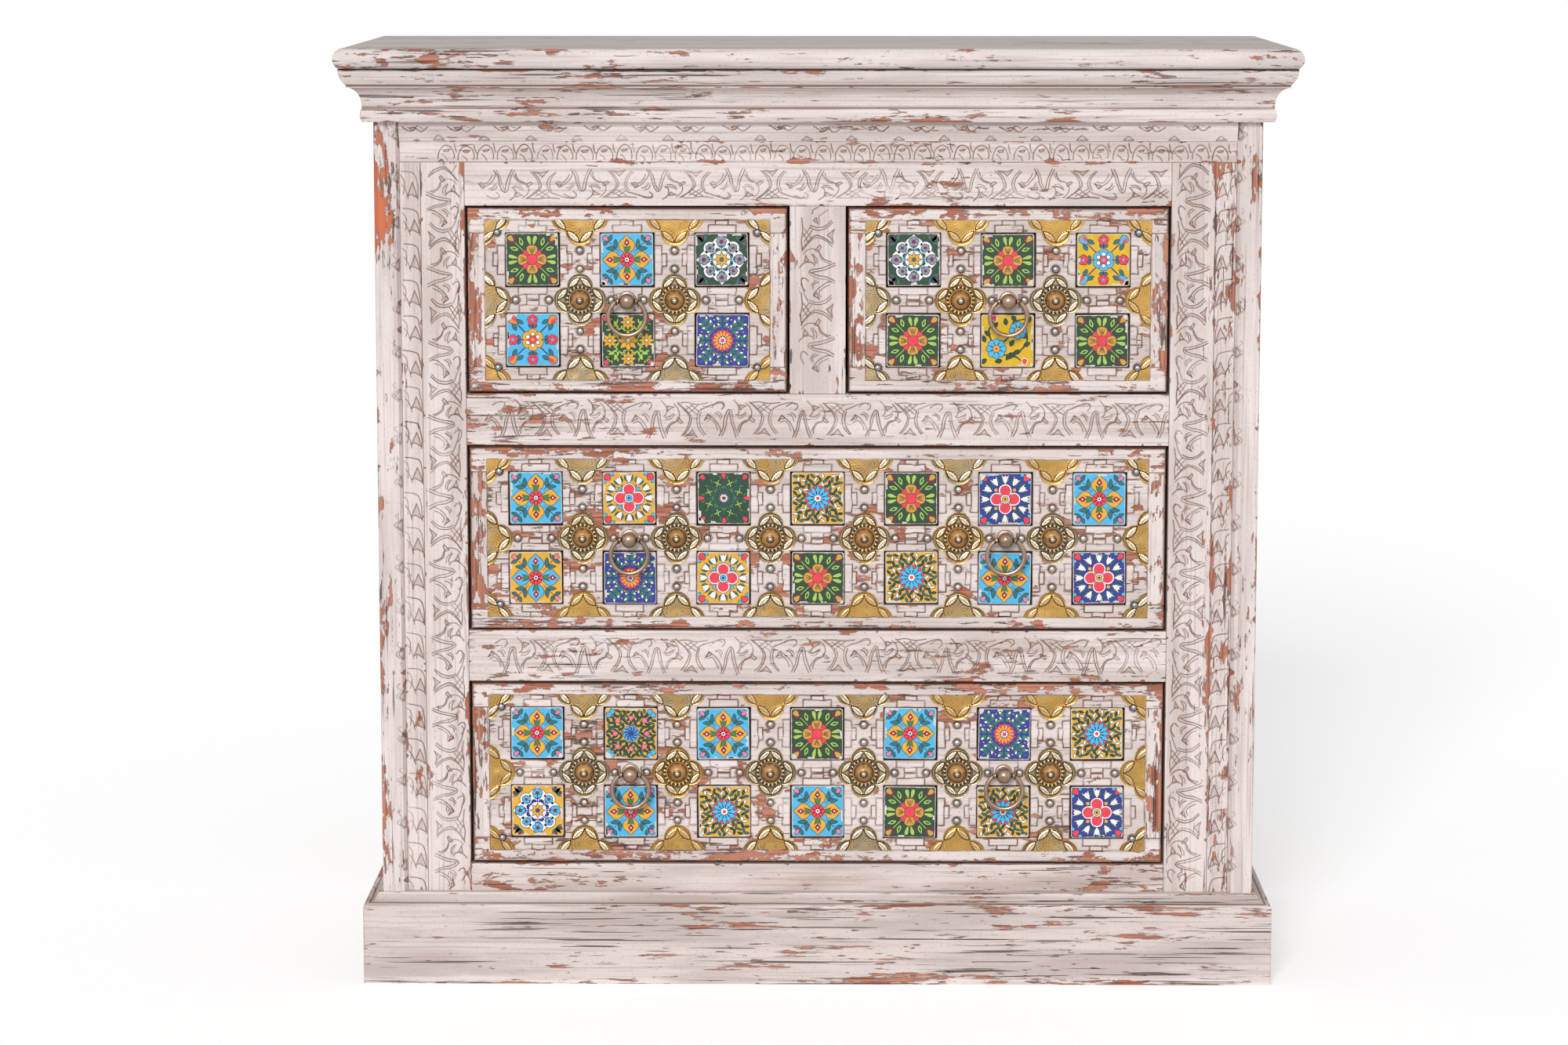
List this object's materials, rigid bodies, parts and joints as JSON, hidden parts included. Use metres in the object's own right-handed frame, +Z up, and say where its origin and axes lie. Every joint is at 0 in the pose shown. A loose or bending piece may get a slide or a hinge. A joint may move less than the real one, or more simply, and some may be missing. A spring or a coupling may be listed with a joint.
{
  "type": "chest of drawers",
  "caption": "Free-standing chest of drawers in carved, whitewashed wood, with inlaid patterned tiles, brass plates and ring pulls",
  "frame": {"origin": "on the floor, under the middle of the outer box", "axes": "+Z up, the drawers face -Y and open towards -Y, +X to the right of someone who faces the chest; the long side lies along X"},
  "size_m": [0.92, 0.42, 0.91],
  "materials": {
    "painted_wood": "chalky whitewash over hardwood, rubbed back along the grain, with terracotta and brown showing through",
    "bare_wood": "plain sawn hardwood, waxed",
    "glazed_tile": "hand-painted floral glaze in blue, green, yellow and red, glossy, with worn edges",
    "brass_plate": "pressed brass sheet, aged, satin",
    "nail_metal": "domed nails, dull brass with steel-grey heads",
    "pull_metal": "cast antique brass, brown in the hollows"
  },
  "bodies": {
    "case": {"top_board": "painted_wood", "cornice_front": "painted_wood", "cornice_left": "painted_wood", "cornice_right": "painted_wood", "frieze_rail": "painted_wood", "corner_stile_left": "painted_wood", "corner_stile_right": "painted_wood", "side_panel_left": "painted_wood", "side_panel_right": "painted_wood", "back_panel": "bare_wood", "bottom_board": "bare_wood", "border_strips": "painted_wood", "carved_stile_left": "painted_wood", "carved_stile_right": "painted_wood", "carved_top_rail": "painted_wood", "carved_rail_upper": "painted_wood", "carved_rail_lower": "painted_wood", "centre_divider": "painted_wood", "bottom_rail": "painted_wood", "plinth_front": "painted_wood", "plinth_returns": "painted_wood", "runners_and_kickers": "bare_wood"},
    "bottom_drawer": {"bottom_drawer_front_strips": "painted_wood", "bottom_drawer_carved_panel": "painted_wood", "bottom_drawer_box_walls": "bare_wood", "bottom_drawer_box_bottom": "bare_wood", "bottom_drawer_tiles": "glazed_tile", "bottom_drawer_brasswork": "brass_plate", "bottom_drawer_nails": "nail_metal", "bottom_drawer_pull_knobs": "pull_metal"},
    "bottom_drawer_ring_left": {"bottom_drawer_ring_left": "pull_metal"},
    "bottom_drawer_ring_right": {"bottom_drawer_ring_right": "pull_metal"},
    "middle_drawer": {"middle_drawer_front_strips": "painted_wood", "middle_drawer_carved_panel": "painted_wood", "middle_drawer_box_walls": "bare_wood", "middle_drawer_box_bottom": "bare_wood", "middle_drawer_tiles": "glazed_tile", "middle_drawer_brasswork": "brass_plate", "middle_drawer_nails": "nail_metal", "middle_drawer_pull_knobs": "pull_metal"},
    "middle_drawer_ring_left": {"middle_drawer_ring_left": "pull_metal"},
    "middle_drawer_ring_right": {"middle_drawer_ring_right": "pull_metal"},
    "left_drawer": {"left_drawer_front_strips": "painted_wood", "left_drawer_carved_panel": "painted_wood", "left_drawer_box_walls": "bare_wood", "left_drawer_box_bottom": "bare_wood", "left_drawer_tiles": "glazed_tile", "left_drawer_brasswork": "brass_plate", "left_drawer_nails": "nail_metal", "left_drawer_pull_knobs": "pull_metal"},
    "left_drawer_ring": {"left_drawer_ring": "pull_metal"},
    "right_drawer": {"right_drawer_front_strips": "painted_wood", "right_drawer_carved_panel": "painted_wood", "right_drawer_box_walls": "bare_wood", "right_drawer_box_bottom": "bare_wood", "right_drawer_tiles": "glazed_tile", "right_drawer_brasswork": "brass_plate", "right_drawer_nails": "nail_metal", "right_drawer_pull_knobs": "pull_metal"},
    "right_drawer_ring": {"right_drawer_ring": "pull_metal"}
  },
  "joints": [
    {"name": "bottom_drawer_slide", "type": "slide", "parent": "case", "child": "bottom_drawer", "axis": [0, -1, 0], "range_m": [0, 0.28]},
    {"name": "bottom_drawer_ring_left_hinge", "type": "hinge", "parent": "bottom_drawer", "child": "bottom_drawer_ring_left", "pos_m": [-0.182, -0.1818, 0.20567], "axis": [-1, 0, 0], "range_deg": [-18, 198]},
    {"name": "bottom_drawer_ring_right_hinge", "type": "hinge", "parent": "bottom_drawer", "child": "bottom_drawer_ring_right", "pos_m": [0.182, -0.1818, 0.20567], "axis": [-1, 0, 0], "range_deg": [-18, 198]},
    {"name": "middle_drawer_slide", "type": "slide", "parent": "case", "child": "middle_drawer", "axis": [0, -1, 0], "range_m": [0, 0.28]},
    {"name": "middle_drawer_ring_left_hinge", "type": "hinge", "parent": "middle_drawer", "child": "middle_drawer_ring_left", "pos_m": [-0.182, -0.1818, 0.437], "axis": [-1, 0, 0], "range_deg": [-18, 198]},
    {"name": "middle_drawer_ring_right_hinge", "type": "hinge", "parent": "middle_drawer", "child": "middle_drawer_ring_right", "pos_m": [0.182, -0.1818, 0.437], "axis": [-1, 0, 0], "range_deg": [-18, 198]},
    {"name": "left_drawer_slide", "type": "slide", "parent": "case", "child": "left_drawer", "axis": [0, -1, 0], "range_m": [0, 0.28]},
    {"name": "left_drawer_ring_hinge", "type": "hinge", "parent": "left_drawer", "child": "left_drawer_ring", "pos_m": [-0.183, -0.1818, 0.66833], "axis": [-1, 0, 0], "range_deg": [-18, 198]},
    {"name": "right_drawer_slide", "type": "slide", "parent": "case", "child": "right_drawer", "axis": [0, -1, 0], "range_m": [0, 0.28]},
    {"name": "right_drawer_ring_hinge", "type": "hinge", "parent": "right_drawer", "child": "right_drawer_ring", "pos_m": [0.183, -0.1818, 0.66833], "axis": [-1, 0, 0], "range_deg": [-18, 198]}
  ]
}
